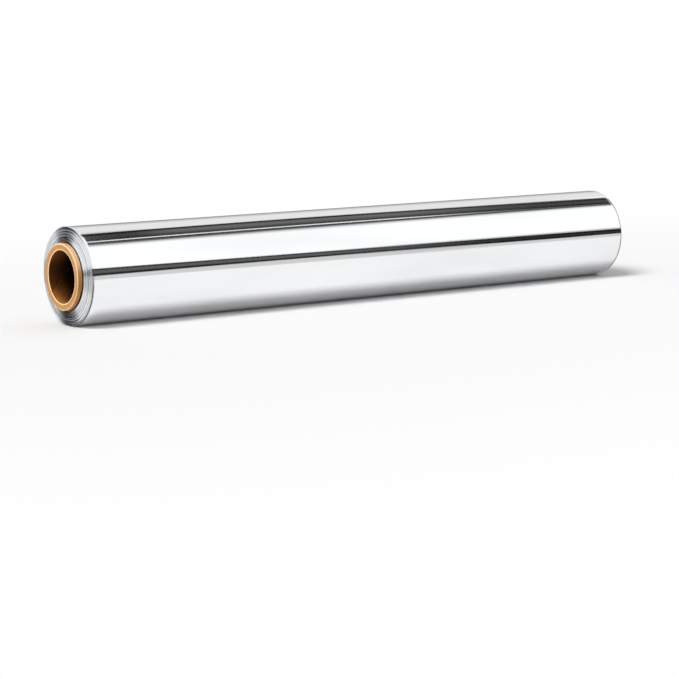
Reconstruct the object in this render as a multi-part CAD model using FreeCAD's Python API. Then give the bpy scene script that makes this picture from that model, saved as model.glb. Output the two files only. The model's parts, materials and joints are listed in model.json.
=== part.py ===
"""Aluminium foil roll: household foil wound on a spiral-wound kraft board tube.

Lengths are in millimetres and angles in degrees. X runs along the roll and Z is up.
The origin is on the surface that the roll lies on, under the middle of the roll.
The roll lies on its side on the small flat that its own weight presses into the foil.
"""

import FreeCAD, Part
import math
import os

# Foil web
foil_width = 300.0
roll_diameter = 42.4
rest_flat_width = 5.0
# The free edge is the cut end of the outermost turn, seen as one line along the roll
free_edge_step = 0.15
free_edge_angle = -25.0
# Core tube
core_outer_diameter = 28.6
core_wall = 3.0
core_stub = 3.0
core_edge_chamfer = 0.3
# Open seam between neighbouring turns of the tube's inner ply
seam_pitch = 74.0
seam_width = 0.8
seam_depth = 0.25
# Where the seam meets the -X end, from +Y towards +Z
seam_start_angle = -40.0
# Turns as they show at the ends: each modelled turn stands for a bundle of thin real ones
winding_clearance = 0.05
turn_pitch = 0.6
inner_ledge_width = 0.25
gap_share = 0.38
gap_depth = 0.35
# The inner turns have slipped towards -X, so that end is a low cone and the +X end is dished.
# The steps from turn to turn are uneven, by up to slip_unevenness of an even step.
telescope = 1.0
slip_unevenness = 0.6
slip_wander_angle = 137.5

roll_radius = roll_diameter / 2
core_outer_radius = core_outer_diameter / 2
core_inner_radius = core_outer_radius - core_wall
core_length = foil_width + 2 * core_stub
winding_bore_radius = core_outer_radius + winding_clearance
axis_height = math.sqrt(roll_radius**2 - (rest_flat_width / 2) ** 2)
along = FreeCAD.Vector(1, 0, 0)


def spiral_arcs():
    """(radius, centre offset) of each half circle of the spiral, from the core outwards.

    Half circles with centres on one line join smoothly where each radius and centre
    change by the same growth. The growth is small at the first and the last half turn,
    so the spiral starts close to the core's circle and ends close to the roll's.
    """
    edge_growth = free_edge_step / 2
    inner_radius = winding_bore_radius + inner_ledge_width
    outer_radius = roll_radius - edge_growth / 2
    build_up = outer_radius - inner_radius - edge_growth
    full_turns = max(1, round(build_up / turn_pitch))
    half_turns = 2 * full_turns + 1
    full_growth = build_up / (half_turns - 1)
    arcs = [(inner_radius, -edge_growth / 2)]
    for i in range(half_turns + 1):
        growth = edge_growth if i in (0, half_turns) else full_growth
        radius, offset = arcs[-1]
        side = 1 if i % 2 == 0 else -1
        arcs.append((radius + growth, offset + side * growth))
    return arcs


def half_circle(radius, offset, index):
    """The upper half circle for an even index and the lower one for an odd index."""
    side = 1 if index % 2 == 0 else -1
    start = FreeCAD.Vector(0, offset + side * radius, 0)
    middle = FreeCAD.Vector(0, offset, side * radius)
    end = FreeCAD.Vector(0, offset - side * radius, 0)
    return Part.Arc(start, middle, end).toShape()


def between(inner, outer, share):
    """The arc at a share of the way from the inner arc to the outer one."""
    return tuple(a + share * (b - a) for a, b in zip(inner, outer))


def strip_face(inner, outer, index):
    """The face between two half circles of one half turn, closed by two short lines."""
    inside = half_circle(*inner, index)
    outside = half_circle(*outer, index)
    first = Part.LineSegment(inside.Vertexes[0].Point, outside.Vertexes[0].Point)
    last = Part.LineSegment(outside.Vertexes[1].Point, inside.Vertexes[1].Point)
    return Part.Face(Part.Wire([inside, last.toShape(), outside, first.toShape()]))


def along_x(face, start, end):
    """The face extruded from x = start to x = end."""
    moved = face.copy()
    moved.translate(FreeCAD.Vector(start, 0, 0))
    return moved.extrude(FreeCAD.Vector(end - start, 0, 0))


def slips_of_turns(turns):
    """How far each turn has slipped towards -X, from the innermost turn to the outermost."""
    wander = math.radians(slip_wander_angle)
    steps = [1 + slip_unevenness * math.sin(wander * k) for k in range(1, turns)]
    scale = telescope / sum(steps)
    return [scale * sum(steps[k:]) for k in range(turns)]


def ends_of(slip, setback):
    """Where a turn starts and ends along X, set back by the same amount at both ends."""
    return -foil_width / 2 - slip + setback, foil_width / 2 - slip - setback


def wound_turns(arcs, slips):
    """All half turns side by side, each a proud bundle with a set-back gap inside it."""
    solids = []
    for i in range(len(arcs) - 2):
        slip = slips[i // 2]
        bundle_start = between(arcs[i], arcs[i + 2], gap_share)
        gap = strip_face(arcs[i], bundle_start, i)
        bundle = strip_face(bundle_start, arcs[i + 2], i)
        solids.append(along_x(gap, *ends_of(slip, gap_depth)))
        solids.append(along_x(bundle, *ends_of(slip, 0)))
    return solids


def inner_ledge(arcs, slip):
    """The first turns on the core, set back as far as the gaps are."""
    upper = half_circle(*arcs[0], 0)
    lower = half_circle(*arcs[1], 1)
    step = Part.LineSegment(lower.Vertexes[1].Point, upper.Vertexes[0].Point).toShape()
    outline = Part.Face(Part.Wire([upper, lower, step]))
    left, right = ends_of(slip, gap_depth)
    ring = along_x(outline, left, right)
    bore = Part.makeCylinder(winding_bore_radius, right - left, FreeCAD.Vector(left, 0, 0), along)
    return ring.cut(bore)


def foil_winding():
    """The wound web as one solid, turned to its free edge and pressed flat where it rests."""
    arcs = spiral_arcs()
    slips = slips_of_turns(len(arcs) // 2)
    ledge = inner_ledge(arcs, slips[0])
    solid = ledge.multiFuse(wound_turns(arcs, slips)).removeSplitter()
    solid.rotate(FreeCAD.Vector(0, 0, 0), along, free_edge_angle + 180)
    solid.translate(FreeCAD.Vector(0, 0, axis_height))
    below = Part.makeBox(
        2 * foil_width,
        2 * roll_diameter,
        roll_diameter,
        FreeCAD.Vector(-foil_width, -roll_diameter, -roll_diameter),
    )
    return solid.cut(below)


def ply_seam():
    """The helical slot that the inner ply's neighbouring turns leave open, as a cutter."""
    lead_in = seam_width * seam_pitch / (2 * math.pi * core_inner_radius)
    start = -core_length / 2 - lead_in
    helix = Part.makeHelix(seam_pitch, core_length + 2 * lead_in, core_inner_radius)
    climb = math.atan2(seam_pitch, 2 * math.pi * core_inner_radius)
    outward = FreeCAD.Vector(1, 0, 0)
    across = FreeCAD.Vector(0, -math.sin(climb), math.cos(climb))
    foot = outward * core_inner_radius
    corners = [
        foot - outward * seam_depth - across * (seam_width / 2),
        foot + outward * seam_depth - across * (seam_width / 2),
        foot + outward * seam_depth + across * (seam_width / 2),
        foot - outward * seam_depth + across * (seam_width / 2),
    ]
    section = Part.makePolygon(corners + corners[:1])
    slot = Part.Wire(helix.Edges).makePipeShell([section], True, True)
    slot.rotate(FreeCAD.Vector(0, 0, 0), FreeCAD.Vector(0, 1, 0), 90)
    end_angle = 360 * lead_in / seam_pitch - 90
    slot.rotate(FreeCAD.Vector(0, 0, 0), along, seam_start_angle - end_angle)
    slot.translate(FreeCAD.Vector(start, 0, axis_height))
    return slot


def core_tube():
    """Spiral-wound kraft board tube with the sharp edges of its cut ends taken off."""
    start = FreeCAD.Vector(-core_length / 2, 0, axis_height)
    body = Part.makeCylinder(core_outer_radius, core_length, start, along)
    bore = Part.makeCylinder(core_inner_radius, core_length, start, along)
    tube = body.cut(bore)
    rims = [e for e in tube.Edges if e.Closed and isinstance(e.Curve, Part.Circle)]
    tube = tube.makeChamfer(min(core_edge_chamfer, core_wall / 3), rims)
    return tube.cut(ply_seam())


def main():
    """Writes one STEP file per piece."""
    os.makedirs("parts", exist_ok=True)
    for name, build in (("foil_winding", foil_winding), ("core_tube", core_tube)):
        shape = build()
        shape.exportStep(f"parts/{name}.step")
        box = shape.BoundBox
        print(
            f"{name}: {len(shape.Solids)} solid, {len(shape.Faces)} faces, "
            f"{box.XLength:.2f} x {box.YLength:.2f} x {box.ZLength:.2f} mm, "
            f"volume {shape.Volume:.0f} mm3, valid {shape.isValid()}"
        )


main()
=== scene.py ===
"""A household aluminium foil roll: the wound foil web, its board tube and a plain studio.

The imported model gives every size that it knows. The rest are the fields of the classes
below, in metres, with angles in degrees. X runs along the roll and Z is up.
"""

import json
import logging
import math
from dataclasses import dataclass
from enum import Enum

import bmesh
import bpy
from mathutils import Matrix, Vector


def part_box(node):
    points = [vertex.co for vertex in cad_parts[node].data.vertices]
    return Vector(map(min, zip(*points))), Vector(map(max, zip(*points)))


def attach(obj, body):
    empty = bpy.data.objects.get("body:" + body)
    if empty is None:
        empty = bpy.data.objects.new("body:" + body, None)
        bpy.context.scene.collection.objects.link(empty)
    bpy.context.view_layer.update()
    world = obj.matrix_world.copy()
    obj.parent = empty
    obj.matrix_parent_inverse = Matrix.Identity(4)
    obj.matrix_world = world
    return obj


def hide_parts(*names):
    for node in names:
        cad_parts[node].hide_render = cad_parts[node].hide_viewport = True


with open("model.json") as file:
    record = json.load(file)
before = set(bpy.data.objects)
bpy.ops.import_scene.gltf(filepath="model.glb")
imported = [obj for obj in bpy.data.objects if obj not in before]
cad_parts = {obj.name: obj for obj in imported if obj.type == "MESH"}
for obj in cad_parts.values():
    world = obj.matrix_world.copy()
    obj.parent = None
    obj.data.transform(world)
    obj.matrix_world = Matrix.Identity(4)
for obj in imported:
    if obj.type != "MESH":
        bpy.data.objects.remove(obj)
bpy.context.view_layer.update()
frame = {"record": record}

logging.basicConfig(level=logging.INFO, format="%(message)s")
log = logging.getLogger("foil_roll")

MM = 0.001
ROOT_BODY = "root"
WINDING_CLEARANCE = 0.05 * MM
# How far the directions that the camera sees in the foil point along the roll, from -1 to 1
MIRRORED_AT_NEAR_END = 0.48
MIRRORED_AT_MIDDLE = 0.57
MIRRORED_AT_FAR_END = 0.69
# Places of the colours among the sockets of a Mix node, which has a set for each kind of value
MIX_FIRST, MIX_SECOND, MIX_RESULT = 6, 7, 2

Colour = tuple[float, float, float]
# A pattern's features to a metre along x, y and z
Grain = tuple[float, float, float]


class Slot(Enum):
    """The record's material slots."""

    FOIL = "foil"
    BOARD = "kraft_board"


class Formula:
    """A number in a node tree, which takes Python's arithmetic and adds the nodes for it."""

    def __init__(self, tree: bpy.types.NodeTree, socket: bpy.types.NodeSocket) -> None:
        """Wraps one output socket.

        Args:
            tree: The tree that holds the socket and takes the new nodes.
            socket: The output that carries the number.
        """
        self.tree = tree
        self.socket = socket

    def maths(self, operation: str, *others: "Formula | float") -> "Formula":
        """Adds one Math node.

        Args:
            operation: The node's operation.
            others: The second and third operands, as the operation needs them.

        Returns:
            The node's result.
        """
        node = self.tree.nodes.new("ShaderNodeMath")
        node.operation = operation
        for slot, operand in zip(node.inputs, (self, *others)):
            feed(self.tree, slot, operand)
        return Formula(self.tree, node.outputs[0])

    def __add__(self, other: "Formula | float") -> "Formula":
        """Adds."""
        return self.maths("ADD", other)

    def __radd__(self, other: float) -> "Formula":
        """Adds, with the plain number first."""
        return self.maths("ADD", other)

    def __sub__(self, other: "Formula | float") -> "Formula":
        """Subtracts."""
        return self.maths("SUBTRACT", other)

    def __rsub__(self, other: float) -> "Formula":
        """Subtracts from a plain number."""
        return self.maths("MULTIPLY_ADD", -1.0, other)

    def __mul__(self, other: "Formula | float") -> "Formula":
        """Multiplies."""
        return self.maths("MULTIPLY", other)

    def __rmul__(self, other: float) -> "Formula":
        """Multiplies, with the plain number first."""
        return self.maths("MULTIPLY", other)

    def __truediv__(self, other: "Formula | float") -> "Formula":
        """Divides."""
        return self.maths("DIVIDE", other)

    def over(self, limit: "Formula | float") -> "Formula":
        """Gives 1 where this is over the limit, else 0."""
        return self.maths("GREATER_THAN", limit)

    def clamped(self, low: "Formula | float", high: "Formula | float") -> "Formula":
        """Keeps this between two limits."""
        return self.maths("MAXIMUM", low).maths("MINIMUM", high)

    def ramp(self, start: "Formula | float", end: "Formula | float") -> "Formula":
        """Rises smoothly from 0 to 1 as this goes from start to end.

        Args:
            start: Where the rise starts.
            end: Where it ends.

        Returns:
            The smooth step, which is flat outside the two.
        """
        node = self.tree.nodes.new("ShaderNodeMapRange")
        node.interpolation_type = "SMOOTHSTEP"
        for name, operand in (("Value", self), ("From Min", start), ("From Max", end)):
            feed(self.tree, node.inputs[name], operand)
        return Formula(self.tree, node.outputs["Result"])

    def sine(self) -> "Formula":
        """Sine of an angle in radians."""
        return self.maths("SINE")

    def cosine(self) -> "Formula":
        """Cosine of an angle in radians."""
        return self.maths("COSINE")


def feed(tree: bpy.types.NodeTree, slot: bpy.types.NodeSocket, operand: "Formula | float") -> None:
    """Links a formula to an input, or sets the input to a plain number."""
    if isinstance(operand, Formula):
        tree.links.new(operand.socket, slot)
    else:
        slot.default_value = operand


def mixed(low: "Formula | float", high: "Formula | float", share: Formula) -> Formula:
    """The number at a share of the way from low to high."""
    return low + (high - low) * share


def vector(tree: bpy.types.NodeTree, x: Formula, y: Formula, z: Formula) -> bpy.types.NodeSocket:
    """Joins three numbers into a vector socket."""
    node = tree.nodes.new("ShaderNodeCombineXYZ")
    for slot, part in zip(node.inputs, (x, y, z)):
        feed(tree, slot, part)
    return node.outputs[0]


def parts_of(tree: bpy.types.NodeTree, socket: bpy.types.NodeSocket) -> tuple[Formula, Formula, Formula]:
    """Splits a vector socket into its three numbers."""
    node = tree.nodes.new("ShaderNodeSeparateXYZ")
    tree.links.new(socket, node.inputs[0])
    return tuple(Formula(tree, part) for part in node.outputs)


def crowded(share: Formula, crowding: float) -> Formula:
    """Crowds even steps from 0 to 1 towards both ends, where they shrink by the crowding's share."""
    return share - (share * 2.0 * math.pi).sine() * (crowding / (2.0 * math.pi))


def noise(
    tree: bpy.types.NodeTree,
    place: "Formula | bpy.types.NodeSocket",
    scale: float,
    detail: float = 0.0,
) -> Formula:
    """Smooth noise, about 0 to 1, along a number or through a vector field.

    Args:
        tree: The tree that takes the node.
        place: Where the noise is read: a number for noise along a line, or a vector socket.
        scale: How many features there are to a unit.
        detail: How many finer layers are added.

    Returns:
        The noise.
    """
    node = tree.nodes.new("ShaderNodeTexNoise")
    node.inputs["Scale"].default_value = scale
    node.inputs["Detail"].default_value = detail
    if isinstance(place, Formula):
        node.noise_dimensions = "1D"
        tree.links.new(place.socket, node.inputs["W"])
    else:
        tree.links.new(place, node.inputs["Vector"])
    return Formula(tree, node.outputs[0])


class ShapeTree:
    """A Geometry Nodes tree that places the corners of flat grids by a rule."""

    def __init__(self, name: str, sizes: dict[str, float]) -> None:
        """Starts the tree.

        Args:
            name: The tree's name.
            sizes: The tree's named inputs, with the value that each is given.
        """
        self.tree = bpy.data.node_groups.new(name, "GeometryNodeTree")
        self.tree.interface.new_socket("Geometry", in_out="OUTPUT", socket_type="NodeSocketGeometry")
        self.sizes = sizes
        for title in sizes:
            self.tree.interface.new_socket(title, in_out="INPUT", socket_type="NodeSocketFloat")
        self.given = self.tree.nodes.new("NodeGroupInput")
        self.patches: list[bpy.types.NodeSocket] = []

    def size(self, title: str) -> Formula:
        """One of the named inputs."""
        return Formula(self.tree, self.given.outputs[title])

    def grid(self, columns: int, rows: int) -> tuple[bpy.types.NodeSocket, Formula, Formula]:
        """Adds a flat grid.

        Args:
            columns: Steps along the grid's first side.
            rows: Steps along its second side.

        Returns:
            The grid's mesh, and each corner's column and row, counted from 0.
        """
        node = self.tree.nodes.new("GeometryNodeMeshGrid")
        node.inputs["Size X"].default_value = columns
        node.inputs["Size Y"].default_value = rows
        node.inputs["Vertices X"].default_value = columns + 1
        node.inputs["Vertices Y"].default_value = rows + 1
        place = self.tree.nodes.new("GeometryNodeInputPosition")
        across, along, _ = parts_of(self.tree, place.outputs[0])
        column = (across + columns / 2).maths("ROUND")
        row = (along + rows / 2).maths("ROUND")
        return node.outputs["Mesh"], column, row

    def add(
        self, mesh: bpy.types.NodeSocket, place: bpy.types.NodeSocket, marks: dict[str, Formula]
    ) -> None:
        """Moves a grid's corners to their places and keeps it for the finished shape.

        Args:
            mesh: The grid.
            place: Each corner's place.
            marks: Numbers to store on the corners, by attribute name.
        """
        for name, mark in marks.items():
            store = self.tree.nodes.new("GeometryNodeStoreNamedAttribute")
            store.inputs["Name"].default_value = name
            self.tree.links.new(mesh, store.inputs["Geometry"])
            self.tree.links.new(mark.socket, store.inputs["Value"])
            mesh = store.outputs["Geometry"]
        move = self.tree.nodes.new("GeometryNodeSetPosition")
        self.tree.links.new(mesh, move.inputs["Geometry"])
        self.tree.links.new(place, move.inputs["Position"])
        self.patches.append(move.outputs["Geometry"])

    def chain(self, socket: bpy.types.NodeSocket, kind: str) -> bpy.types.Node:
        """Adds a node that takes the geometry on, and returns it."""
        node = self.tree.nodes.new(kind)
        self.tree.links.new(socket, node.inputs["Geometry"])
        return node

    def finish(self, name: str, material: bpy.types.Material, weld: float) -> bpy.types.Object:
        """Welds the patches, ends the tree and turns its result into a plain mesh.

        Args:
            name: The new piece's name.
            material: The piece's material.
            weld: Corners nearer to each other than this become one.

        Returns:
            The piece, with no modifier left on it.
        """
        join = self.tree.nodes.new("GeometryNodeJoinGeometry")
        for patch in self.patches:
            self.tree.links.new(patch, join.inputs["Geometry"])
        merge = self.chain(join.outputs[0], "GeometryNodeMergeByDistance")
        merge.inputs["Distance"].default_value = weld
        smooth = self.chain(merge.outputs[0], "GeometryNodeSetShadeSmooth")
        real = self.chain(smooth.outputs[0], "GeometryNodeRealizeInstances")
        dress = self.chain(real.outputs[0], "GeometryNodeSetMaterial")
        dress.inputs["Material"].default_value = material
        end = self.tree.nodes.new("NodeGroupOutput")
        self.tree.links.new(dress.outputs[0], end.inputs["Geometry"])
        return self.as_piece(name)

    def as_piece(self, name: str) -> bpy.types.Object:
        """Runs the tree on an empty mesh and keeps the result."""
        piece = bpy.data.objects.new(name, bpy.data.meshes.new(f"{name}_start"))
        bpy.context.scene.collection.objects.link(piece)
        modifier = piece.modifiers.new("shape", "NODES")
        modifier.node_group = self.tree
        for item in self.tree.interface.items_tree:
            if item.in_out == "INPUT":
                modifier[item.identifier] = float(self.sizes[item.name])
        scene_state = bpy.context.evaluated_depsgraph_get()
        mesh = bpy.data.meshes.new_from_object(piece.evaluated_get(scene_state))
        piece.modifiers.remove(modifier)
        piece.data = mesh
        mesh.name = name
        return piece


def face_outwards(piece: bpy.types.Object, sharp_angle: float) -> None:
    """Points every face of a closed piece outwards and marks its sharp edges.

    Args:
        piece: The piece, with its doubles already merged.
        sharp_angle: Edges that turn by more than this are sharp.
    """
    shape = bmesh.new()
    shape.from_mesh(piece.data)
    bmesh.ops.recalc_face_normals(shape, faces=shape.faces)
    loose_ends = sum(1 for edge in shape.edges if len(edge.link_faces) != 2)
    shape.to_mesh(piece.data)
    shape.free()
    piece.data.set_sharp_from_angle(angle=math.radians(sharp_angle))
    log.info("%s: %d faces, %d open or shared edges", piece.name, len(piece.data.polygons), loose_ends)


def stand_for(piece: bpy.types.Object, node: str) -> None:
    """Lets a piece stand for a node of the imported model.

    Args:
        piece: The finished piece.
        node: The node that it replaces.
    """
    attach(piece, ROOT_BODY)
    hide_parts(node)


class Shader:
    """A material's node tree with one Principled shader."""

    def __init__(self, name: str) -> None:
        """Makes the material."""
        self.material = bpy.data.materials.new(name)
        self.material.use_nodes = True
        self.tree = self.material.node_tree
        self.surface = self.tree.nodes["Principled BSDF"]

    def place(self) -> bpy.types.NodeSocket:
        """Object coordinates."""
        return self.tree.nodes.new("ShaderNodeTexCoord").outputs["Object"]

    def pattern(self, grain: Grain, detail: float) -> Formula:
        """Smooth noise in Object coordinates.

        Args:
            grain: The noise's features to a metre on each axis.
            detail: How many finer layers are added.

        Returns:
            The noise.
        """
        node = self.tree.nodes.new("ShaderNodeMapping")
        node.inputs["Scale"].default_value = grain
        self.tree.links.new(self.place(), node.inputs["Vector"])
        return noise(self.tree, node.outputs[0], 1.0, detail)

    def mark(self, name: str) -> Formula:
        """A number stored on the piece's corners."""
        node = self.tree.nodes.new("ShaderNodeAttribute")
        node.attribute_name = name
        return Formula(self.tree, node.outputs["Fac"])

    def blend(
        self,
        share: Formula,
        first: "bpy.types.NodeSocket | Colour",
        second: "bpy.types.NodeSocket | Colour",
    ) -> bpy.types.NodeSocket:
        """Mixes two colours.

        Args:
            share: How much of the second colour there is.
            first: The first colour, plain or from a node.
            second: The second colour, plain or from a node.

        Returns:
            The mixed colour.
        """
        node = self.tree.nodes.new("ShaderNodeMix")
        node.data_type = "RGBA"
        feed(self.tree, node.inputs[0], share)
        for slot, colour in ((node.inputs[MIX_FIRST], first), (node.inputs[MIX_SECOND], second)):
            if isinstance(colour, tuple):
                slot.default_value = (*colour, 1.0)
            else:
                self.tree.links.new(colour, slot)
        return node.outputs[MIX_RESULT]

    def stained(
        self, colour: "bpy.types.NodeSocket | Colour", stains: dict[str, Colour]
    ) -> "bpy.types.NodeSocket | Colour":
        """Blends colours in where marks are.

        Args:
            colour: The colour to start from.
            stains: The colour of each mark, by the mark's name, from the lowest to the topmost.

        Returns:
            The stained colour.
        """
        for name, stain in stains.items():
            colour = self.blend(self.mark(name), colour, stain)
        return colour

    def dress(self, **inputs: "float | Formula | bpy.types.NodeSocket") -> None:
        """Sets or links the shader's inputs, with underscores for spaces in their names."""
        for name, operand in inputs.items():
            slot = self.surface.inputs[name.replace("_", " ")]
            if isinstance(operand, bpy.types.NodeSocket):
                self.tree.links.new(operand, slot)
            else:
                feed(self.tree, slot, operand)

    def bump(self, height: Formula, depth: float) -> None:
        """Bumps the surface.

        Args:
            height: The bump's height, 0 to 1.
            depth: How deep 1 is, in metres.
        """
        node = self.tree.nodes.new("ShaderNodeBump")
        node.inputs["Distance"].default_value = depth
        self.tree.links.new(height.socket, node.inputs["Height"])
        self.tree.links.new(node.outputs[0], self.surface.inputs["Normal"])


@dataclass(frozen=True)
class BrightFoil:
    """Rolled aluminium: bright on the web's face, duller and greyer on its cut edges, with painted dark
    reflection on the edges and painted shade at the web's edges and round the core.
    """

    face_colour: Colour = (0.93, 0.935, 0.945)
    dull_colour: Colour = (0.86, 0.87, 0.89)
    edge_colour: Colour = (0.90, 0.91, 0.93)
    edge_shade: Colour = (0.50, 0.52, 0.56)
    # Painted dark reflection: the grey of the cut edges above and below the tube
    dark_reflection_colour: Colour = (0.17, 0.18, 0.20)
    # Painted shade on the turns in the gap round the core
    core_shade_colour: Colour = (0.05, 0.035, 0.025)
    # Painted shade on the web's outside at its edges, darkest on the lower half
    web_edge_shade_colour: Colour = (0.015, 0.015, 0.017)
    streaks: Grain = (4.0, 420.0, 420.0)
    hazes: Grain = (9.0, 60.0, 60.0)
    rolling_marks: Grain = (2600.0, 30.0, 30.0)
    clouds: Grain = (300.0, 300.0, 300.0)
    greys_per_turn: float = 2.3
    bundles_per_turn: float = 0.45
    bundle_start: float = 5.0
    face_roughness: float = 0.055
    face_haze: float = 0.05
    edge_roughness: float = 0.10
    edge_haze: float = 0.10
    streak_depth: float = 0.002 * MM
    rolling_share: float = 0.3
    edge_depth: float = 0.03 * MM
    cloud_share: float = 0.4

    def material(self) -> bpy.types.Material:
        """Builds the material."""
        shader = Shader("bright_foil")
        edge = shader.mark("cut_edge")
        turn = shader.mark("turn")
        streak = shader.pattern(self.streaks, 2.0)
        haze = shader.pattern(self.hazes, 3.0)
        rolling = shader.pattern(self.rolling_marks, 1.0)
        cloud = shader.pattern(self.clouds, 2.0)
        single_turn = noise(shader.tree, turn, self.greys_per_turn, 1.0)
        bundle = noise(shader.tree, turn + self.bundle_start, self.bundles_per_turn)

        face = shader.blend(haze.ramp(0.45, 0.75), self.face_colour, self.dull_colour)
        # Painted shade on the web's outside at its edges
        face = shader.stained(face, {"painted_web_edge_shade": self.web_edge_shade_colour})
        grey = (single_turn.ramp(0.38, 0.66) + bundle.ramp(0.42, 0.6)) * 0.5
        lines = shader.blend(grey, self.edge_colour, self.edge_shade)
        # Painted dark reflection on the cut edges, and painted shade on the turns in the gap round the
        # core
        lines = shader.stained(lines, {"painted_dark_reflection": self.dark_reflection_colour, "painted_core_shade": self.core_shade_colour})
        face_roughness = self.face_roughness + self.face_haze * haze.ramp(0.35, 0.8)
        edge_roughness = self.edge_roughness + self.edge_haze * cloud
        shader.dress(
            Base_Color=shader.blend(edge, face, lines),
            Metallic=1.0,
            Roughness=mixed(face_roughness, edge_roughness, edge),
        )
        face_height = (streak + rolling * self.rolling_share) * (self.streak_depth / self.edge_depth)
        edge_height = single_turn + cloud * self.cloud_share
        shader.bump(mixed(face_height, edge_height, edge), self.edge_depth)
        return shader.material


@dataclass(frozen=True)
class KraftBoard:
    """Unbleached board: mottled brown fibre with paler cut edges, painted highlights and shade on the
    outside, and a bore painted darker as shade, with painted light at its mouth.
    """

    board_colour: Colour = (0.52, 0.26, 0.085)
    pale_fibre: Colour = (0.66, 0.37, 0.15)
    dark_fibre: Colour = (0.32, 0.14, 0.04)
    cut_colour: Colour = (0.49, 0.245, 0.10)
    # Painted highlight on the cut ends' edges and on the outside's upper front side
    highlight_colour: Colour = (0.97, 0.68, 0.42)
    # The bore's board, painted darker than the outside as shade, with its painted light at the mouth and
    # its painted shade deep inside
    shaded_bore_colour: Colour = (0.160, 0.050, 0.008)
    shaded_bore_fibre: Colour = (0.26, 0.090, 0.019)
    bore_lit: Colour = (0.46, 0.19, 0.05)
    deep_shade_colour: Colour = (0.010, 0.003, 0.001)
    # Painted shade on the outside's front side
    shade_colour: Colour = (0.36, 0.15, 0.035)
    # Painted shade where the outside enters the foil
    foot_shade_colour: Colour = (0.035, 0.017, 0.008)
    seam_colour: Colour = (0.07, 0.022, 0.005)
    fibres: Grain = (900.0, 2600.0, 2600.0)
    mottles: Grain = (160.0, 160.0, 160.0)
    flecks: Grain = (1500.0, 1500.0, 1500.0)
    bore_cuts: Grain = (2400.0, 20.0, 20.0)
    bore_lays: float = 95.0
    fleck_share: float = 0.6
    ply_share: float = 0.45
    seam_share: float = 0.2
    roughness: float = 0.78
    fibre_roughness: float = 0.15
    gloss: float = 0.08
    fibre_depth: float = 0.06 * MM
    mottle_height: float = 0.5

    def material(self) -> bpy.types.Material:
        """Builds the material."""
        shader = Shader("kraft_board")
        fibre = shader.pattern(self.fibres, 3.0)
        mottle = shader.pattern(self.mottles, 4.0)
        colour = shader.blend(shader.mark("bore"), self.outside(shader, mottle), self.inside(shader))
        colour = shader.blend(shader.mark("cut_end"), colour, self.cut_end(shader, fibre))
        # Painted highlights on the cut end's edges
        colour = shader.stained(colour, {"rim": self.highlight_colour})
        colour = shader.blend(shader.mark("seam") * self.seam_share, colour, self.seam_colour)
        shader.dress(
            Base_Color=colour,
            Roughness=self.roughness + self.fibre_roughness * fibre,
            Specular_IOR_Level=self.gloss,
        )
        shader.bump(fibre + mottle * self.mottle_height, self.fibre_depth)
        return shader.material

    def outside(self, shader: Shader, mottle: Formula) -> bpy.types.NodeSocket:
        """The colour outside: mottled and flecked, with a painted highlight on its upper front side,
        painted shade on its front side, and painted shade where the board meets the foil.

        Args:
            shader: The material's tree.
            mottle: The noise of the mottles.

        Returns:
            The colour.
        """
        board = shader.blend(mottle.ramp(0.35, 0.7), self.board_colour, self.pale_fibre)
        fleck = shader.pattern(self.flecks, 1.0).ramp(0.66, 0.78)
        board = shader.blend(fleck * self.fleck_share, board, self.dark_fibre)
        # Painted highlight on the upper front side, painted shade on the front side, and painted shade
        # where the board enters the foil
        stains = {"painted_side_highlight": self.highlight_colour, "shade": self.shade_colour, "foot": self.foot_shade_colour}
        return shader.stained(board, stains)

    def inside(self, shader: Shader) -> bpy.types.NodeSocket:
        """The colour in the bore: fibres along the ply on board painted darker as shade, with painted
        light at its mouth and painted shade further in.
        """
        lay = noise(shader.tree, shader.mark("lay"), self.bore_lays, 2.0)
        cuts = shader.pattern(self.bore_cuts, 1.0)
        bore = shader.blend((lay + cuts).ramp(0.85, 1.25), self.shaded_bore_colour, self.shaded_bore_fibre)
        return shader.stained(bore, {"bore_lit": self.bore_lit, "deep": self.deep_shade_colour})

    def cut_end(self, shader: Shader, fibre: Formula) -> bpy.types.NodeSocket:
        """The colour of a cut end, where the lines between the plies show."""
        end = shader.blend(fibre.ramp(0.3, 0.7), self.cut_colour, self.pale_fibre)
        return shader.blend(shader.mark("ply_line") * self.ply_share, end, self.dark_fibre)


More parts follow.
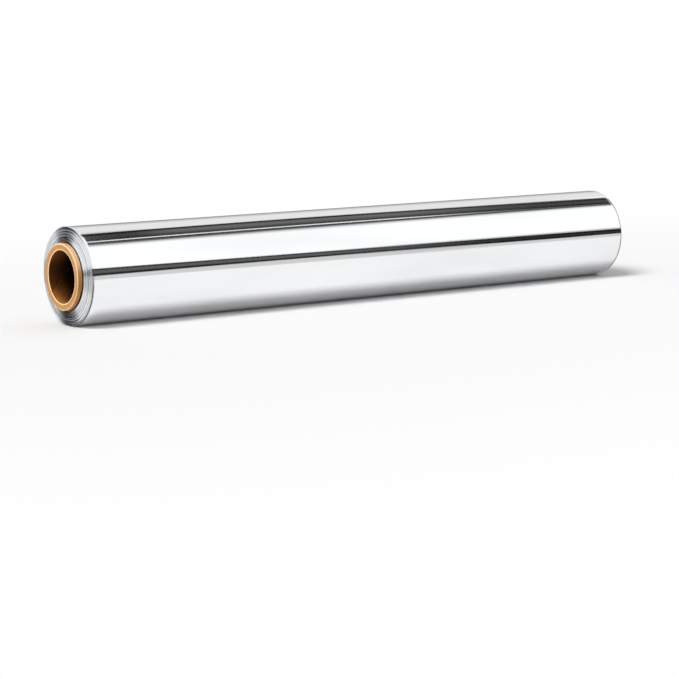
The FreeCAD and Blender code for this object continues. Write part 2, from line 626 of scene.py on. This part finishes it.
@dataclass(frozen=True)
class PaleFloor:
    """A matt white surface that keeps the roll's shadow and turns plain white further out.

    Mirrors see a painted grey strip on it in front of the roll, which the camera doesn't see.
    """

    colour: float = 0.93
    near: float = 0.10
    far: float = 0.42
    front_near: float = 0.17
    front_far: float = 0.31
    front_slant: float = 0.25
    front_level: float = 0.66
    roughness: float = 0.9
    gloss: float = 0.1

    def material(self, half_length: float) -> bpy.types.Material:
        """Builds the material.

        Args:
            half_length: Half of the roll's length, round which the shadow is kept.

        Returns:
            The material.
        """
        shader = Shader("pale_floor")
        tree = shader.tree
        x, y, _ = parts_of(tree, shader.place())
        past_end = (x.maths("ABSOLUTE") - half_length).maths("MAXIMUM", 0.0)
        away = (past_end * past_end + y * y).maths("SQRT")
        mirrored = Formula(tree, tree.nodes.new("ShaderNodeLightPath").outputs["Is Glossy Ray"])
        # A painted grey strip in front of the roll, which only mirrors see
        mirrored_grey_strip = (x * self.front_slant - y).ramp(self.front_near, self.front_far) * mirrored
        glow = tree.nodes.new("ShaderNodeEmission")
        level = 1.0 - mirrored_grey_strip * (1.0 - self.front_level)
        tree.links.new(level.socket, glow.inputs["Strength"])
        mix = tree.nodes.new("ShaderNodeMixShader")
        out = tree.nodes["Material Output"]
        share = away.ramp(self.near, self.far).maths("MAXIMUM", mirrored_grey_strip)
        tree.links.new(share.socket, mix.inputs[0])
        tree.links.new(shader.surface.outputs[0], mix.inputs[1])
        tree.links.new(glow.outputs[0], mix.inputs[2])
        tree.links.new(mix.outputs[0], out.inputs["Surface"])
        shader.surface.inputs["Base Color"].default_value = (self.colour, self.colour, self.colour, 1.0)
        shader.dress(Roughness=self.roughness, Specular_IOR_Level=self.gloss)
        return shader.material


@dataclass(frozen=True)
class FoilWinding:
    """The web, wound in a spiral round the tube: one closed piece with every turn's edge at its ends.

    A grid is wrapped round the roll. Its columns go once round. Its rows climb one end from the
    bore to the rim, run along the outside, climb down the other end and close through the bore.
    The radius grows by one pitch in one round, so that each row of the ends meets the row one turn
    further out, and the outermost row makes the free edge.
    """

    bore_radius: float
    outer_radius: float
    width: float
    slip: float
    axis_height: float
    turns: int = 40
    around: int = 256
    along: int = 72
    free_edge_angle: float = -25.0
    groove: float = 0.012 * MM
    crowding: float = 0.92
    relief: float = 0.50 * MM
    ring_turns: float = 6.7
    top_ring: float = 1.0
    sway: float = 0.035 * MM
    rim_round: float = 0.25 * MM
    rim_turns: float = 1.6
    shoulder_drop: float = 0.08 * MM
    shoulder_length: float = 1.6 * MM
    shoulder_turns: float = 3.0
    core_gap: float = 0.25 * MM
    # Turns from the bore that the painted shade round the core covers
    core_line: float = 0.7
    # Painted dark reflection on the cut edges: the turn of its dark sectors, how dark it is above and
    # below the tube, beside it and behind it, and as a line at the rim
    dark_reflection_turn: float = 4.0
    dark_reflection_above: float = 0.85
    dark_reflection_beside: float = 0.42
    dark_reflection_behind: float = 0.16
    dark_reflection_rim: float = 0.7
    # Painted shade on the web's outside at its edges: how far in it reaches, how dark it is all round,
    # and how much darker on the lower half
    web_edge_shade_width: float = 1.2 * MM
    web_edge_shade_above: float = 0.15
    web_edge_shade_below: float = 0.82
    wave: float = 0.012 * MM
    waves_along: float = 6.0
    waves_around: float = 5.0
    free_edge_run: float = 0.06
    edge_foot: float = 0.35
    edge_top: float = 0.85
    rows_per_turn: int = 3
    layer_gap: float = 0.004 * MM
    weld: float = 0.0002 * MM
    sharp_angle: float = 50.0

    def build(self, finish: BrightFoil) -> bpy.types.Object:
        """Builds the piece.

        Args:
            finish: The foil's finish.

        Returns:
            The piece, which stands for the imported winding.
        """
        shape = ShapeTree(
            "foil_winding_shape",
            {
                "Bore radius": self.bore_radius,
                "Outer radius": self.outer_radius,
                "Web width": self.width,
                "Slip": self.slip,
                "Axis height": self.axis_height,
                "Groove depth": self.groove,
                "Ring relief": self.relief,
                "Sway": self.sway,
                "Rim round": self.rim_round,
                "Shoulder drop": self.shoulder_drop,
                "Shoulder length": self.shoulder_length,
                "Core gap": self.core_gap,
                "Wave height": self.wave,
            },
        )
        self.add_web(shape)
        self.add_step(shape, self.turns, self.along)
        self.add_step(shape, 0, 1)
        piece = shape.finish("foil_web", finish.material(), self.weld)
        face_outwards(piece, self.sharp_angle)
        stand_for(piece, "foil_winding")
        return piece

    def add_web(self, shape: ShapeTree) -> None:
        """Adds the grid that wraps the whole roll."""
        climb = self.rows_per_turn * self.turns
        last = 2 * climb + self.along
        mesh, column, row = shape.grid(self.around, last + 1)
        from_end = row.maths("MINIMUM", last - row)
        level = from_end.clamped(0.0, climb)
        turn = (level / self.rows_per_turn).maths("FLOOR")
        step = level - turn * self.rows_per_turn
        even = ((row - climb) / self.along).clamped(0.0, 1.0)
        along = crowded(even, self.crowding) * (1.0 - row.over(last + 0.5))
        round_share = column / self.around
        self.add_corners(shape, mesh, turn, step, round_share, along, 1.0 - level.over(climb - 0.5))

    def add_step(self, shape: ShapeTree, turn: int, segments: int) -> None:
        """Adds the narrow wall where the spiral starts or ends.

        Args:
            shape: The tree.
            turn: The turn whose step it is: 0 at the bore, the last one at the free edge.
            segments: Steps along the roll.
        """
        mesh, column, row = shape.grid(self.rows_per_turn, segments)
        outer = column.over(self.rows_per_turn - 0.5)
        step = column * (1.0 - outer)
        along = crowded(row / segments, self.crowding)
        none = row * 0.0
        self.add_corners(shape, mesh, outer + turn, step, none, along, none)

    def add_corners(
        self,
        shape: ShapeTree,
        mesh: bpy.types.NodeSocket,
        turn: Formula,
        step: Formula,
        round_share: Formula,
        along: Formula,
        on_end: Formula,
    ) -> None:
        """Places a grid's corners.

        Args:
            shape: The tree.
            mesh: The grid.
            turn: Whole turns from the bore.
            step: 0 at the groove under a turn, 1 and 2 at the foot and top of its edge.
            round_share: Share of one round, from the free edge.
            along: 0 at the near end and 1 at the far end.
            on_end: 1 on the ends and 0 on the outside.
        """
        raised = step.over(0.5)
        share = raised * self.edge_foot + step.over(1.5) * (self.edge_top - self.edge_foot)
        wound = turn + share + round_share
        angle = round_share * 2.0 * math.pi + math.radians(self.free_edge_angle)
        outermost = wound.ramp(self.turns, self.turns + self.free_edge_run)
        slip = self.edge_slip(shape, wound, angle)
        set_back = shape.size("Groove depth") * (1.0 - raised) * (1.0 - outermost)
        set_back = set_back + self.edge_round(shape, wound)
        half = shape.size("Web width") * 0.5
        x = mixed(slip * -1.0 - half + set_back, half - slip - set_back, along)

        pitch = (shape.size("Outer radius") - shape.size("Bore radius")) / (self.turns + 1)
        radius = shape.size("Bore radius") + pitch * wound
        radius = radius + self.wave_height(shape, x, angle) * outermost - self.shoulder(shape, x, wound)
        y = radius * angle.cosine()
        floor = (self.turns + 1.0 - wound) * self.layer_gap
        z = (shape.size("Axis height") + radius * angle.sine()).maths("MAXIMUM", floor)
        marks = {
            "cut_edge": on_end,
            "turn": wound,
            # Painted dark reflection on the cut edges
            "painted_dark_reflection": self.painted_dark_reflection(wound, angle),
            # Painted shade on the turns in the gap round the core
            "painted_core_shade": 1.0 - wound.ramp(self.core_line, self.core_line + 0.6),
            # Painted shade on the web's outside at its edges
            "painted_web_edge_shade": self.painted_web_edge_shade(shape, x, angle) * outermost,
        }
        shape.add(mesh, vector(shape.tree, x, y, z), marks)

    def wave_height(self, shape: ShapeTree, x: Formula, angle: Formula) -> Formula:
        """How much the outermost turn's faint waves lift it."""
        across, up = angle.cosine() * self.waves_around, angle.sine() * self.waves_around
        ripple = noise(shape.tree, vector(shape.tree, x * self.waves_along, across, up), 1.0, 1.0)
        return (ripple - 0.5) * 2.0 * shape.size("Wave height")

    def shoulder(self, shape: ShapeTree, x: Formula, wound: Formula) -> Formula:
        """How much the outer turns bend down towards the web's edges."""
        length = shape.size("Shoulder length")
        from_edge = shape.size("Web width") * 0.5 - x.maths("ABSOLUTE")
        past = (1.0 - from_edge / length).clamped(0.0, 1.0)
        near_rim = wound.ramp(self.turns - self.shoulder_turns, self.turns)
        return past * past * shape.size("Shoulder drop") * near_rim

    def painted_dark_reflection(self, wound: Formula, angle: Formula) -> Formula:
        """The painted dark reflection on the cut edges: darkest above and below the tube, a little
        beside and behind it, and a painted shade line at the rim.

        Args:
            wound: Turns from the bore.
            angle: The place round the roll.

        Returns:
            The share of the painted dark reflection.
        """
        upright = (angle + math.radians(self.dark_reflection_turn)).sine().maths("ABSOLUTE")
        beside = angle.cosine().maths("ABSOLUTE").ramp(0.93, 1.0)
        behind = angle.cosine().ramp(0.3, 1.0)
        at_rim = wound.ramp(self.turns - 1.3, self.turns - 0.5) * upright.ramp(0.6, 0.95)
        level = upright.ramp(0.86, 1.0) * self.dark_reflection_above + beside * self.dark_reflection_beside
        return level + behind * self.dark_reflection_behind + at_rim * self.dark_reflection_rim

    def painted_web_edge_shade(self, shape: ShapeTree, x: Formula, angle: Formula) -> Formula:
        """The painted shade on the web's outside right at its edges, most of all on the lower half, near
        the floor.
        """
        from_edge = shape.size("Web width") * 0.5 - x.maths("ABSOLUTE")
        at_edge = (1.0 - from_edge / self.web_edge_shade_width).ramp(0.12, 0.45)
        lower = (angle.sine() * -1.0).ramp(-0.3, 0.2)
        return at_edge * (lower * self.web_edge_shade_below + self.web_edge_shade_above)

    def edge_slip(self, shape: ShapeTree, wound: Formula, angle: Formula) -> Formula:
        """How far a turn's edge has slipped towards the near end.

        Args:
            shape: The tree.
            wound: Turns from the bore.
            angle: The place round the roll.

        Returns:
            The slip: a slope from the bore to the rim, with rings of turns that stand proud.
        """
        tree = shape.tree
        outside = wound / (self.turns + 1.0)
        top = self.turns - self.top_ring
        phase = (top - wound.maths("MINIMUM", top)) / self.ring_turns + 0.5
        phase = phase + (noise(tree, wound + 3.7, 0.21) - 0.5) * (1.0 - outside.ramp(0.75, 0.9)) * 0.5
        ring = phase.maths("FLOOR")
        across = (phase - ring) * 2.0 - 1.0
        depth = noise(tree, ring * 3.3 + 0.4, 1.0) * 0.9 + 0.55
        valley = across.maths("ABSOLUTE").maths("POWER", 1.3) * depth * shape.size("Ring relief")
        turns = noise(tree, wound + 11.0, 1.6) - 0.5
        drift = noise(tree, vector(tree, angle.cosine(), angle.sine(), wound * 0.2), 1.0) - 0.5
        inside_rim = 1.0 - outside.ramp(0.90, 0.95)
        uneven = (turns * 0.5 + drift) * shape.size("Sway") * inside_rim
        return shape.size("Slip") * (1.0 - outside) + uneven - valley

    def edge_round(self, shape: ShapeTree, wound: Formula) -> Formula:
        """How far the web's edge is set back where it is rounded at the rim and loose at the core."""
        near_rim = ((wound - (self.turns - self.rim_turns)) / self.rim_turns).clamped(0.0, 1.0)
        rounded = 1.0 - (1.0 - near_rim * near_rim).maths("MAXIMUM", 0.0).maths("SQRT")
        loose = 1.0 - wound.ramp(0.8, 1.8)
        return shape.size("Rim round") * rounded + shape.size("Core gap") * loose


@dataclass(frozen=True)
class CoreTube:
    """The board tube, rolled from spiral plies, with soft cut ends and an open inner seam.

    The grid's columns follow the seam, so they turn round the tube as they run along it, and they
    are closest together at the seam.
    """

    inner_radius: float
    outer_radius: float
    length: float
    axis_height: float
    foot_near: float
    foot_far: float
    # Painted shade where the outside enters the foil: how soft its edge is and how much wider it is on
    # the lower half
    foot_shade: float = 0.2 * MM
    foot_below: float = 0.35 * MM
    # Painted shade in the bore: how deep it is full and how much nearer the mouth it comes behind; and
    # how deep the painted light at the mouth reaches
    deep: float = 11.0 * MM
    deep_behind: float = 0.62
    lit: float = 7.0 * MM
    # How much the painted highlight on the cut end's outer edge fades behind the tube
    highlight_fade_behind: float = 0.85
    # Painted highlight on the outside's upper front side and painted shade on its front side: their
    # strengths, and the angles round the tube where each is strongest
    painted_side_highlight: float = 0.6
    shade: float = 0.6
    side_highlight_angle: float = 138.0
    shade_angle: float = 181.0
    seam_pitch: float = 74.0 * MM
    seam_width: float = 0.8 * MM
    seam_depth: float = 0.14 * MM
    seam_start_angle: float = -40.0
    edge_round: float = 0.32 * MM
    ply: float = 0.5 * MM
    ply_relief: float = 0.05 * MM
    cut_relief: float = 0.10 * MM
    rags_across: float = 900.0
    rags_around: float = 9.0
    around: int = 96
    along: int = 140
    across: int = 28
    crowding: float = 0.8
    row_crowding: float = 0.93
    weld: float = 0.0005 * MM
    sharp_angle: float = 60.0

    def build(self, finish: KraftBoard) -> bpy.types.Object:
        """Builds the piece.

        Args:
            finish: The board's finish.

        Returns:
            The piece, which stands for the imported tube.
        """
        shape = ShapeTree(
            "core_tube_shape",
            {
                "Inner radius": self.inner_radius,
                "Outer radius": self.outer_radius,
                "Length": self.length,
                "Axis height": self.axis_height,
                "Edge round": self.edge_round,
                "Seam pitch": self.seam_pitch,
                "Seam depth": self.seam_depth,
            },
        )
        self.add_wall(shape)
        piece = shape.finish("board_tube", finish.material(), self.weld)
        face_outwards(piece, self.sharp_angle)
        stand_for(piece, "core_tube")
        return piece

    def side(
        self, shape: ShapeTree, row: Formula, first: int, rows: int, length: Formula
    ) -> Formula:
        """How far along one side of the wall's section a row is.

        Args:
            shape: The tree.
            row: The row.
            first: The row that the side starts with.
            rows: How many rows the side has, of which two at each end are in the rounded edge.
            length: The side's length.

        Returns:
            The distance from the side's start, kept within the side.
        """
        edge = shape.size("Edge round")
        row = (row - first).clamped(0.0, rows)
        start = row.maths("MINIMUM", 2.0) * 0.5 * edge
        even = ((row - 2.0) / (rows - 4.0)).clamped(0.0, 1.0)
        middle = crowded(even, self.row_crowding) * (length - edge * 2.0)
        end = (row - (rows - 2.0)).maths("MAXIMUM", 0.0) * 0.5 * edge
        return start + middle + end

    def section(self, shape: ShapeTree, row: Formula) -> tuple[Formula, Formula]:
        """Follows the wall's section: outside, far end, bore and near end, with rounded edges.

        Args:
            shape: The tree.
            row: The row, counted from the near end of the outside.

        Returns:
            The place along the tube and the radius.
        """
        inner, outer = shape.size("Inner radius"), shape.size("Outer radius")
        length, edge = shape.size("Length"), shape.size("Edge round")
        half = length * 0.5
        half_way = self.along + self.across
        out = self.side(shape, row, 0, self.along, length)
        down = self.side(shape, row, self.along, self.across, outer - inner)
        back = self.side(shape, row, half_way, self.along, length)
        up = self.side(shape, row, half_way + self.along, self.across, outer - inner)
        x = out - back - half
        radius = outer - down + up
        core_x = x.clamped(edge - half, half - edge)
        core_radius = radius.clamped(inner + edge, outer - edge)
        step_x, step_radius = x - core_x, radius - core_radius
        reach = (step_x * step_x + step_radius * step_radius).maths("SQRT").maths("MAXIMUM", 1e-9)
        share = edge / reach
        return core_x + step_x * share, core_radius + step_radius * share

    def add_wall(self, shape: ShapeTree) -> None:
        """Adds the grid that goes round the wall's section and round the tube."""
        tree = shape.tree
        half, edge = shape.size("Length") * 0.5, shape.size("Edge round")
        mesh, column, row = shape.grid(self.around, 2 * (self.along + self.across))
        x, radius = self.section(shape, row)
        from_seam = (column / self.around - 0.5) * 2.0 * math.pi
        from_seam = from_seam - from_seam.sine() * self.crowding
        twist = (x + half) / shape.size("Seam pitch") * 2.0 * math.pi
        angle = from_seam + twist + math.radians(self.seam_start_angle)
        inner_edge = shape.size("Inner radius") + edge
        in_bore = 1.0 - radius.ramp(inner_edge - edge * 0.8, inner_edge)
        seam = self.in_seam(from_seam) * in_bore
        radius = radius + seam * shape.size("Seam depth")

        on_end = x.maths("ABSOLUTE").ramp(half - edge, half - edge * 0.1)
        ply_line = self.ply_line(shape, radius) * on_end
        across, up = angle.cosine() * self.rags_around, angle.sine() * self.rags_around
        ragged = noise(tree, vector(tree, radius * self.rags_across, across, up), 1.0, 2.0)
        set_back = (ply_line * self.ply_relief + ragged * self.cut_relief) * on_end
        x = x - x.maths("SIGN") * set_back
        y = radius * angle.cosine()
        z = radius * angle.sine() + shape.size("Axis height")
        marks = {
            "cut_end": on_end,
            "seam": seam,
            "ply_line": ply_line,
            "bore": in_bore * (1.0 - on_end),
            "lay": column / self.around,
            # Painted highlights on the cut end's edges
            "rim": self.rim(shape, radius, angle) * on_end,
            # Painted shade where the outside enters the foil
            "foot": self.foot(shape, x, radius, angle),
            # Painted highlight on the outside's upper front side, and painted shade on its front side
            "painted_side_highlight": (angle - math.radians(self.side_highlight_angle)).cosine().ramp(0.72, 1.0) * self.painted_side_highlight,
            "shade": (angle - math.radians(self.shade_angle)).cosine().ramp(0.88, 1.0) * self.shade,
        }
        # Painted light and painted shade in the bore
        marks |= self.bore_marks(half - x.maths("ABSOLUTE"), angle)
        shape.add(mesh, vector(tree, x, y, z), marks)

    def in_seam(self, from_seam: Formula) -> Formula:
        """1 in the inner ply's seam, falling to 0 at its sides."""
        lead = math.atan2(self.seam_pitch, 2.0 * math.pi * self.inner_radius)
        half_seam = self.seam_width / 2.0 / math.sin(lead) / self.inner_radius
        return (half_seam - from_seam.maths("ABSOLUTE")).ramp(0.0, half_seam * 0.4)

    def ply_line(self, shape: ShapeTree, radius: Formula) -> Formula:
        """1 on the lines between the plies of the wall, and 0 in its rounded edges."""
        inner, outer = shape.size("Inner radius"), shape.size("Outer radius")
        edge = shape.size("Edge round")
        past_flat = radius.clamped(inner + edge, outer - edge) - radius
        flat = 1.0 - past_flat.maths("ABSOLUTE").over(1e-7)
        layer = ((outer - radius) / self.ply).maths("FRACT")
        return (1.0 - (layer - 0.5).maths("ABSOLUTE").ramp(0.0, 0.28)) * flat

    def rim(self, shape: ShapeTree, radius: Formula, angle: Formula) -> Formula:
        """The painted highlights on the cut end's two edges, of which the outer one fades low and
        behind.
        """
        inner, outer = shape.size("Inner radius"), shape.size("Outer radius")
        edge = shape.size("Edge round")
        outer_rim = radius.ramp(outer - edge * 2.4, outer - edge * 1.4)
        inner_rim = 1.0 - radius.ramp(inner + edge * 1.2, inner + edge * 1.9)
        upper = angle.sine().ramp(-0.3, 0.5) * 0.5 + 0.5
        highlight_kept = 1.0 - angle.cosine().ramp(0.2, 0.9) * self.highlight_fade_behind
        return outer_rim * upper * highlight_kept + inner_rim

    def foot(self, shape: ShapeTree, x: Formula, radius: Formula, angle: Formula) -> Formula:
        """The painted shade on the outside where it enters the foil, a little wider on the lower half.
        """
        below = (angle.sine() * -1.0).ramp(0.0, 0.8) * self.foot_below
        past_near = (x + below - self.foot_near).ramp(0.0, self.foot_shade)
        past_far = (self.foot_far + below - x).ramp(0.0, self.foot_shade)
        return past_near * past_far * radius.over(shape.size("Outer radius") - shape.size("Edge round"))

    def bore_marks(self, depth: Formula, angle: Formula) -> dict[str, Formula]:
        """Where light and shade are painted into the bore: painted light on its lower side at the mouth,
        and painted shade deep inside.

        Args:
            depth: The distance from the tube's nearer end.
            angle: The place round the tube.

        Returns:
            The marks of the painted light at the mouth and of the painted shade deep inside.
        """
        lower = (angle.sine() * -1.0).ramp(0.45, 1.0)
        shallow = 1.0 - depth.ramp(0.0, self.deep)
        mirrored_grey_strip = 1.0 - angle.cosine().ramp(0.75, 1.0) * self.deep_behind
        return {
            "bore_lit": lower * (1.0 - depth.ramp(0.0, self.lit)),
            "deep": 1.0 - shallow * mirrored_grey_strip,
        }


@dataclass(frozen=True)
class DarkGap:
    """A dark gap between two softboxes, as a strip of the sky along the roll.

    Angles are in degrees round the roll's axis: 0 at the horizon in front of it, 90 overhead and
    180 behind it. How far a direction points along the roll is its x, from -1 to 1. The levels are
    the brightness at the gap's start, middle and end. Its two sides may lean and bow along the roll.
    """

    start: float
    end: float
    levels: tuple[float, float, float]
    soft_start: float = 1.0
    soft_end: float = 1.0
    start_lean: float = 0.0
    start_bow: float = 0.0
    end_lean: float = 0.0
    end_bow: float = 0.0
    nearest: float = -2.0
    farthest: float = 2.0
    fade: float = 0.06

    def brightness(self, turned: Formula, x: Formula) -> Formula:
        """How bright the sky stays: 1 outside the gap and down to its levels within it.

        Args:
            turned: A direction's angle round the roll's axis.
            x: How far it points along the roll.

        Returns:
            The factor.
        """
        shift = x.clamped(MIRRORED_AT_NEAR_END, MIRRORED_AT_FAR_END) - MIRRORED_AT_MIDDLE
        start = shift * self.start_lean + shift * shift * self.start_bow + self.start
        end = shift * self.end_lean + shift * shift * self.end_bow + self.end
        rise = turned.ramp(start - self.soft_start, start + self.soft_start)
        fall = 1.0 - turned.ramp(end - self.soft_end, end + self.soft_end)
        reach = x.ramp(self.nearest, self.nearest + self.fade)
        reach = reach * (1.0 - x.ramp(self.farthest, self.farthest + self.fade))
        share = (turned - start) / (end - start)
        level = mixed(self.levels[0], self.levels[1], share.ramp(0.12, 0.5))
        level = mixed(level, self.levels[2], share.ramp(0.6, 0.9))
        return 1.0 - rise * fall * reach * (1.0 - level)


UPPER_BAND = (
    # Its far side and its near side, with a bright line between them
    DarkGap(
        start=93.2, end=121.4, levels=(0.05, 0.14, 0.005), soft_start=0.6, soft_end=1.8,
        start_lean=15.0, start_bow=-350.0, end_lean=8.0, end_bow=-640.0,
        nearest=0.465, farthest=0.688, fade=0.013,
    ),
    DarkGap(
        start=79.7, end=90.7, levels=(0.30, 0.08, 0.005), soft_start=6.0, soft_end=0.5,
        start_lean=40.0, start_bow=-100.0, end_lean=11.0, end_bow=-350.0,
        nearest=0.465, farthest=0.688, fade=0.013,
    ),
    # The bright line ends and the band is darker towards the roll's far end
    DarkGap(
        start=89.8, end=95.5, levels=(0.2, 0.1, 0.1), soft_start=0.8,
        start_bow=-350.0, nearest=0.60, farthest=0.688,
    ),
    DarkGap(
        start=94.0, end=124.0, levels=(0.6, 0.3, 0.4), soft_start=3.0, soft_end=4.0,
        end_bow=-640.0, nearest=0.61,
    ),
    # The band is darker at the roll's near end, and goes on over its rounded rim
    DarkGap(start=92.0, end=122.0, levels=(0.4, 0.3, 0.6), nearest=0.465, farthest=0.503, fade=0.02),
    DarkGap(
        start=105.0, end=121.4, levels=(0.15, 0.1, 0.1), soft_start=6.0, soft_end=1.8,
        end_lean=8.0, end_bow=-640.0, nearest=0.425, farthest=0.472, fade=0.015,
    ),
)
FAR_RIM = (
    # What the shoulder at the roll's far end mirrors: a dark line, darkest beside the upper band
    DarkGap(
        start=15.0, end=215.0, levels=(0.5, 0.3, 0.3), soft_start=12.0, nearest=0.73, fade=0.03
    ),
    DarkGap(
        start=74.0, end=125.0, levels=(0.2, 0.2, 0.4), soft_start=8.0, nearest=0.73, fade=0.03
    ),
)
LOWER_BAND = (
    DarkGap(
        start=4.3, end=18.2, levels=(0.0, 0.11, 0.01), soft_start=0.4, soft_end=0.9,
        start_lean=-18.0, start_bow=-260.0, end_lean=-38.0, end_bow=-100.0, nearest=-0.9,
    ),
    # Darker towards the roll's far end
    DarkGap(
        start=3.0, end=20.0, levels=(0.3, 0.2, 0.6), start_lean=-18.0, end_lean=-28.0,
        nearest=0.58, fade=0.08,
    ),
    # A grey edge below the band
    DarkGap(
        start=-4.0, end=4.0, levels=(0.80, 0.62, 0.58), start_lean=-20.0, end_lean=-28.0, nearest=0.30
    ),
)
BEHIND = (
    # The horizon behind the roll, in its top outline and in the ends of its turns
    DarkGap(
        start=150.0, end=190.0, levels=(0.75, 0.35, 0.35), soft_start=5.0, nearest=0.465, fade=0.015
    ),
    DarkGap(start=146.0, end=188.0, levels=(0.06, 0.02, 0.02), soft_start=6.0, farthest=0.34),
)


@dataclass(frozen=True)
class Studio:
    """The floor, the light and the camera."""

    camera_place: tuple[float, float, float] = (-0.5737, -0.7715, 0.1314)
    camera_yaw: float = 36.24
    camera_pitch: float = 8.93
    lens: float = 110.9
    sensor: float = 36.0
    floor_half: float = 12.0
    sky_for_diffuse: float = 0.52
    sun_strength: float = 2.1
    sun_angle: float = 25.0
    sun_place: tuple[float, float, float] = (-0.60, -0.20, 0.77)
    front_light: float = 1.07
    top_light: float = 0.84
    top_start: float = 121.3
    top_soft: float = 1.0
    gaps: tuple[DarkGap, ...] = (*UPPER_BAND, *FAR_RIM, *LOWER_BAND, *BEHIND)

    def build(self, half_length: float, floor_finish: PaleFloor) -> None:
        """Builds the studio round the roll.

        Args:
            half_length: Half of the roll's length.
            floor_finish: The floor's finish.
        """
        self.add_floor(floor_finish.material(half_length))
        self.add_camera()
        self.add_sun()
        self.add_sky()
        bpy.context.scene.view_settings.view_transform = "Standard"

    def add_floor(self, material: bpy.types.Material) -> None:
        """Adds the floor."""
        mesh = bpy.data.meshes.new("floor")
        reach = self.floor_half
        corners = ((-reach, -reach), (reach, -reach), (reach, reach), (-reach, reach))
        mesh.from_pydata([(x, y, 0.0) for x, y in corners], [], [(0, 1, 2, 3)])
        mesh.materials.append(material)
        floor = bpy.data.objects.new("floor", mesh)
        bpy.context.scene.collection.objects.link(floor)

    def add_camera(self) -> None:
        """Adds the camera at the photograph's viewpoint."""
        yaw, pitch = math.radians(self.camera_yaw), math.radians(self.camera_pitch)
        data = bpy.data.cameras.new("camera")
        data.sensor_width = self.sensor
        data.lens = self.lens
        camera = bpy.data.objects.new("camera", data)
        camera.location = self.camera_place
        camera.rotation_euler = (math.pi / 2 - pitch, 0.0, -yaw)
        bpy.context.scene.collection.objects.link(camera)
        bpy.context.scene.camera = camera

    def add_sun(self) -> None:
        """Adds a soft sun from above the near end, which isn't mirrored in the foil."""
        place = Vector(self.sun_place)
        data = bpy.data.lights.new("soft_sun", "SUN")
        data.energy = self.sun_strength
        data.angle = math.radians(self.sun_angle)
        lamp = bpy.data.objects.new("soft_sun", data)
        turn = place.to_track_quat("Z", "Y").to_matrix().to_4x4()
        lamp.matrix_world = Matrix.Translation(place) @ turn
        lamp.visible_glossy = False
        lamp.visible_camera = False
        bpy.context.scene.collection.objects.link(lamp)

    def add_sky(self) -> None:
        """Adds the sky: white to the camera, soft and even as light, and softboxes in mirrors."""
        world = bpy.data.worlds.new("studio")
        bpy.context.scene.world = world
        world.use_nodes = True
        tree = world.node_tree
        path = tree.nodes.new("ShaderNodeLightPath")
        mirrored = Formula(tree, path.outputs["Is Glossy Ray"])
        passed = Formula(tree, path.outputs["Is Transmission Ray"])
        seen = Formula(tree, path.outputs["Is Camera Ray"]).maths("MAXIMUM", passed)
        plain = mixed(self.sky_for_diffuse, 1.0, seen)
        level = mixed(plain, self.softboxes(tree), mirrored)
        background = tree.nodes["Background"]
        background.inputs["Color"].default_value = (1.0, 1.0, 1.0, 1.0)
        tree.links.new(level.socket, background.inputs["Strength"])

    def softboxes(self, tree: bpy.types.NodeTree) -> Formula:
        """What a mirror sees: white softboxes with dark gaps between them, along the roll.

        Args:
            tree: The world's tree.

        Returns:
            The brightness by direction.
        """
        direction = tree.nodes.new("ShaderNodeTexCoord").outputs["Generated"]
        x, y, z = parts_of(tree, direction)
        turned = z.maths("ARCTAN2", y * -1.0) * (180.0 / math.pi)
        turned = turned + (-90.0 - turned).over(0.0) * 360.0
        over_top = turned.ramp(self.top_start - self.top_soft, self.top_start + self.top_soft)
        light = mixed(self.front_light, self.top_light, over_top)
        for gap in self.gaps:
            light = light * gap.brightness(turned, x)
        return light


def build_roll() -> float:
    """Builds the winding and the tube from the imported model's sizes.

    Returns:
        Half of the roll's length.
    """
    bore = next(mount for mount in frame["record"]["mounts"] if mount["name"] == "core_bore")
    axis_height = bore["pos_m"][2]
    tube_low, tube_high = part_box("core_tube")
    web_low, web_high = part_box("foil_winding")
    tube_radius = (tube_high[2] - tube_low[2]) / 2
    half_width = web_high[0]
    slip = -(web_low[0] + web_high[0])
    winding = FoilWinding(
        bore_radius=tube_radius + WINDING_CLEARANCE,
        outer_radius=web_high[2] - axis_height,
        width=2 * half_width,
        slip=slip,
        axis_height=axis_height,
    )
    winding.build(BrightFoil())
    tube = CoreTube(
        inner_radius=bore["dims"]["r_mm"] * MM,
        outer_radius=tube_radius,
        length=tube_high[0] - tube_low[0],
        axis_height=axis_height,
        foot_near=-half_width - slip - WINDING_CLEARANCE,
        foot_far=half_width - slip + WINDING_CLEARANCE,
    )
    tube.build(KraftBoard())
    return half_width


def main() -> None:
    """Builds the roll and its studio."""
    half_length = build_roll()
    Studio().build(half_length, PaleFloor())


if __name__ == "__main__":
    main()
